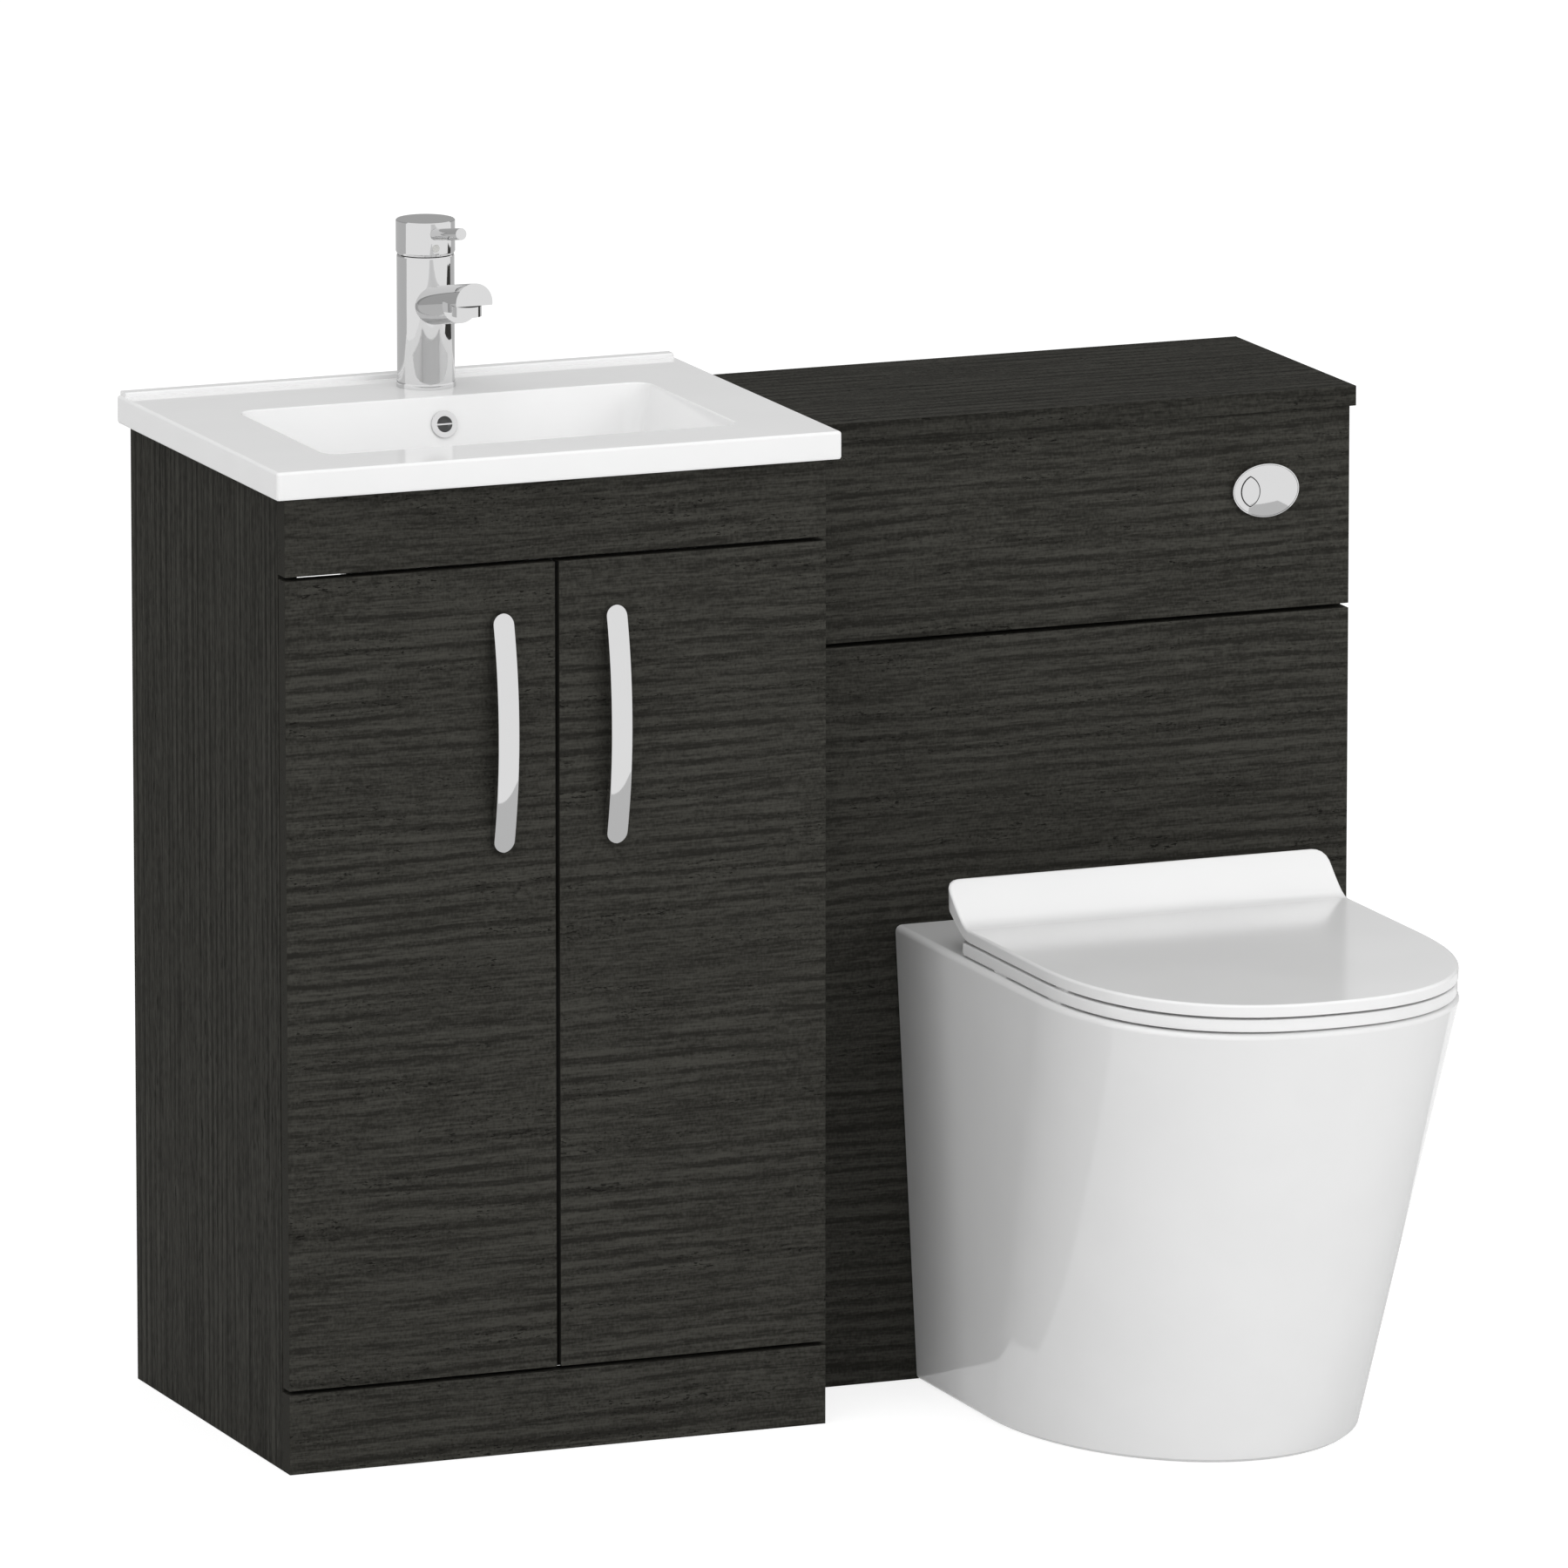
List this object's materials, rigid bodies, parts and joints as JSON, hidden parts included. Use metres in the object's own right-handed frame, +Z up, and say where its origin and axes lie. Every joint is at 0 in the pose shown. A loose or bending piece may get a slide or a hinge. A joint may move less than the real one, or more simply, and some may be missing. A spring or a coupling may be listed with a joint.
{
  "type": "toilet and basin combination unit",
  "caption": "Vanity cabinet with a ceramic basin and mixer tap, beside a cabinet that hides a cistern behind a back-to-wall toilet pan.",
  "frame": {"origin": "on the floor, in the middle of the whole footprint", "axes": "+X to the right along the wall, +Y to the wall, +Z up"},
  "size_m": [1.0664, 0.8019, 1.038],
  "materials": {
    "laminate_side": "matt woodgrain laminate, grain upright",
    "laminate_front": "matt woodgrain laminate, grain level",
    "ceramic": "white gloss glaze",
    "seat_plastic": "white gloss moulding",
    "chrome": "polished",
    "steel": "nickel plated",
    "brass": "plain",
    "white_plastic": "moulded",
    "pale_plastic": "moulded"
  },
  "bodies": {
    "cabinet": {"vanity_side_left": "laminate_side", "vanity_side_right": "laminate_side", "vanity_base": "laminate_side", "vanity_shelf": "laminate_side", "vanity_front_rail": "laminate_side", "vanity_back_rail": "laminate_side", "wc_side_left": "laminate_side", "wc_side_right": "laminate_side", "wc_rails": "laminate_side", "vanity_fascia": "laminate_front", "vanity_plinth": "laminate_front", "wc_upper_panel": "laminate_front", "wc_lower_panel": "laminate_front", "wc_worktop": "laminate_front", "basin": "ceramic", "pan": "ceramic", "overflow_ring": "chrome", "waste_body": "chrome", "waste_nut": "chrome", "tap_seal": "chrome", "tap_body": "chrome", "tap_aerator": "chrome", "button_housing": "chrome", "seat_hinge": "chrome", "shelf_pins": "steel", "left_hinge_arms": "steel", "right_hinge_arms": "steel", "pan_brackets": "steel", "tap_stud": "brass", "tap_clamp": "brass", "trap_body": "white_plastic", "trap_cup": "white_plastic", "trap_outlet": "white_plastic", "tap_cartridge": "white_plastic", "cistern_tank": "white_plastic", "cistern_lid": "white_plastic", "fill_valve": "white_plastic", "flush_valve": "white_plastic", "flush_pipe": "white_plastic", "soil_connector": "pale_plastic"},
    "left_door": {"left_door": "laminate_front", "left_handle": "chrome", "left_handle_screws": "steel", "left_hinge_cups": "steel"},
    "left_links": {"left_hinge_links": "steel"},
    "right_door": {"right_door": "laminate_front", "right_handle": "chrome", "right_handle_screws": "steel", "right_hinge_cups": "steel"},
    "right_links": {"right_hinge_links": "steel"},
    "tap_rotor": {"tap_rotor": "steel"},
    "tap_handle": {"tap_cap": "chrome", "tap_lever": "chrome", "tap_index": "chrome"},
    "waste_plug": {"waste_plug": "chrome"},
    "flush_full": {"flush_button_full": "chrome"},
    "flush_half": {"flush_button_half": "chrome"},
    "seat": {"seat": "seat_plastic", "seat_bumpers": "seat_plastic"},
    "lid": {"lid": "seat_plastic"}
  },
  "joints": [
    {"name": "left_link_turn", "type": "hinge", "parent": "cabinet", "child": "left_links", "pos_m": [-0.48575, 0.034, 0.43], "axis": [0, 0, -1], "range_deg": [-50.2, 0]},
    {"name": "left_door_turn", "type": "hinge", "parent": "left_links", "child": "left_door", "pos_m": [-0.50775, 0.033, 0.43], "axis": [0, 0, -1], "range_deg": [0, 150]},
    {"name": "right_link_turn", "type": "hinge", "parent": "cabinet", "child": "right_links", "pos_m": [-0.05575, 0.034, 0.43], "axis": [0, 0, 1], "range_deg": [-50.2, 0]},
    {"name": "right_door_turn", "type": "hinge", "parent": "right_links", "child": "right_door", "pos_m": [-0.03375, 0.033, 0.43], "axis": [0, 0, 1], "range_deg": [0, 150]},
    {"name": "tap_turn", "type": "hinge", "parent": "cabinet", "child": "tap_rotor", "pos_m": [-0.26655, 0.342, 1.014], "axis": [0, 0, 1], "range_deg": [-45, 45]},
    {"name": "tap_lift", "type": "hinge", "parent": "tap_rotor", "child": "tap_handle", "pos_m": [-0.26655, 0.342, 1.014], "axis": [-1, 0, 0], "range_deg": [0, 15]},
    {"name": "plug_press", "type": "slide", "parent": "cabinet", "child": "waste_plug", "axis": [0, 0, -1], "range_m": [0, 0.006], "stiffness_N_per_m": 300, "springref_m": -0.02},
    {"name": "full_flush_press", "type": "slide", "parent": "cabinet", "child": "flush_full", "axis": [0, 1, 0], "range_m": [0, 0.0038], "stiffness_N_per_m": 400, "springref_m": -0.004},
    {"name": "half_flush_press", "type": "slide", "parent": "cabinet", "child": "flush_half", "axis": [0, 1, 0], "range_m": [0, 0.0038], "stiffness_N_per_m": 300, "springref_m": -0.004},
    {"name": "seat_turn", "type": "hinge", "parent": "cabinet", "child": "seat", "pos_m": [0.27925, 0.056, 0.434], "axis": [-1, 0, 0], "range_deg": [0, 95]},
    {"name": "lid_turn", "type": "hinge", "parent": "seat", "child": "lid", "pos_m": [0.27925, 0.056, 0.434], "axis": [1, 0, 0], "range_deg": [-95, 0]}
  ],
  "couplings": [
    {"joint": "left_link_turn", "follows": "left_door_turn", "ratio": -0.33333},
    {"joint": "right_link_turn", "follows": "right_door_turn", "ratio": -0.33333}
  ]
}
